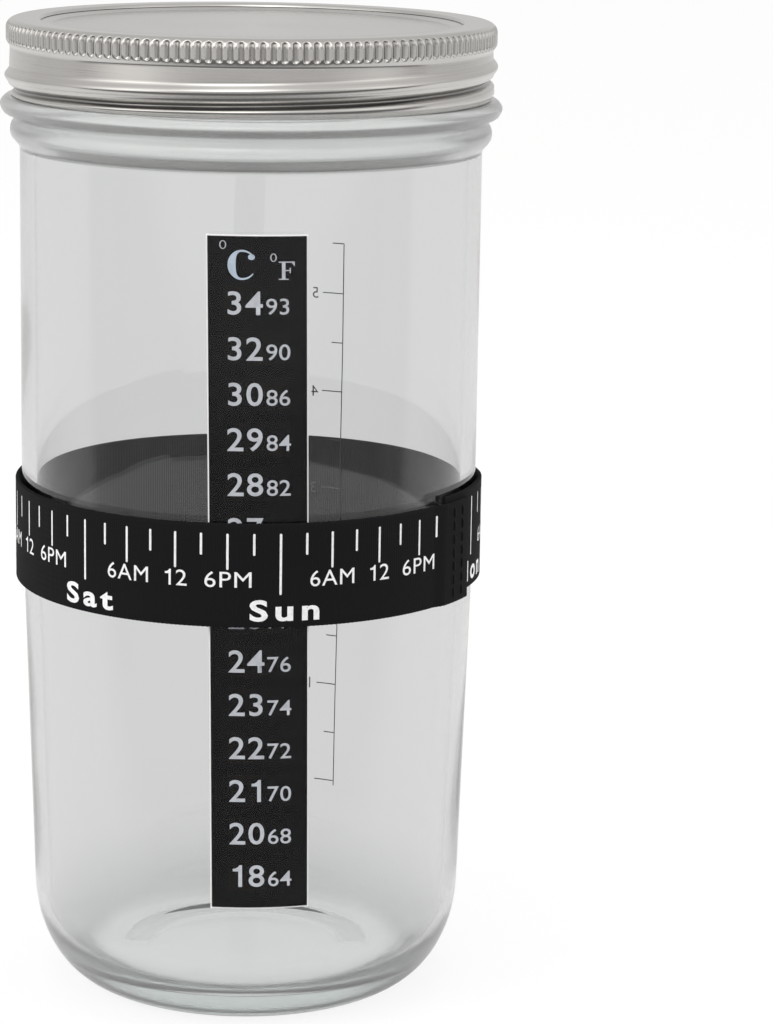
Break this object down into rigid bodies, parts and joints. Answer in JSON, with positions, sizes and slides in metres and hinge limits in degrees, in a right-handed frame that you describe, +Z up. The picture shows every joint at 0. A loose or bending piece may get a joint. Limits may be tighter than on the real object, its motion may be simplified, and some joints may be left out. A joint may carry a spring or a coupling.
{
  "type": "sourdough starter jar",
  "caption": "Straight-sided glass jar with a two-piece screw lid, a liquid crystal thermometer strip and an elastic band that slides to mark the level.",
  "frame": {"origin": "centre of the base, on the surface that the jar stands on", "axes": "+Z up the jar's axis, the thermometer strip faces -Y"},
  "size_m": [0.0924, 0.0924, 0.1825],
  "materials": {
    "jar_glass": "clear flint glass with a faint green edge",
    "tinplate": "satin lacquered tinplate",
    "disc_steel": "satin lacquered tinplate",
    "sealing_compound": "soft grey sealing compound",
    "clear_adhesive": "clear adhesive film",
    "black_film": "black printed film",
    "liquid_crystal": "dark liquid crystal that colours with warmth",
    "clear_film": "clear gloss laminate",
    "black_elastic": "woven black elastic",
    "black_thread": "black sewing thread"
  },
  "bodies": {
    "jar": {"glass_jar": "jar_glass", "thermometer_adhesive": "clear_adhesive", "thermometer_backing": "black_film", "crystal_cells": "liquid_crystal", "thermometer_cover": "clear_film"},
    "lid": {"lid_disc": "disc_steel", "sealing_ring": "sealing_compound"},
    "band": {"screw_band": "tinplate"},
    "marker": {"marker_band": "black_elastic", "seam_stitches": "black_thread"}
  },
  "joints": [
    {"name": "band_turn", "type": "hinge", "parent": "lid", "child": "band", "pos_m": [0, 0, 0.1825], "axis": [0, 0, 1], "range_deg": [0, 1080]},
    {"name": "lid_lift", "type": "slide", "parent": "jar", "child": "lid", "axis": [0, 0, 1], "range_m": [0, 0.01524]},
    {"name": "marker_slide", "type": "slide", "parent": "jar", "child": "marker", "axis": [0, 0, 1], "range_m": [-0.045, 0.058]}
  ],
  "couplings": [
    {"joint": "lid_lift", "follows": "band_turn", "m_per_rad": 0.00080851}
  ]
}
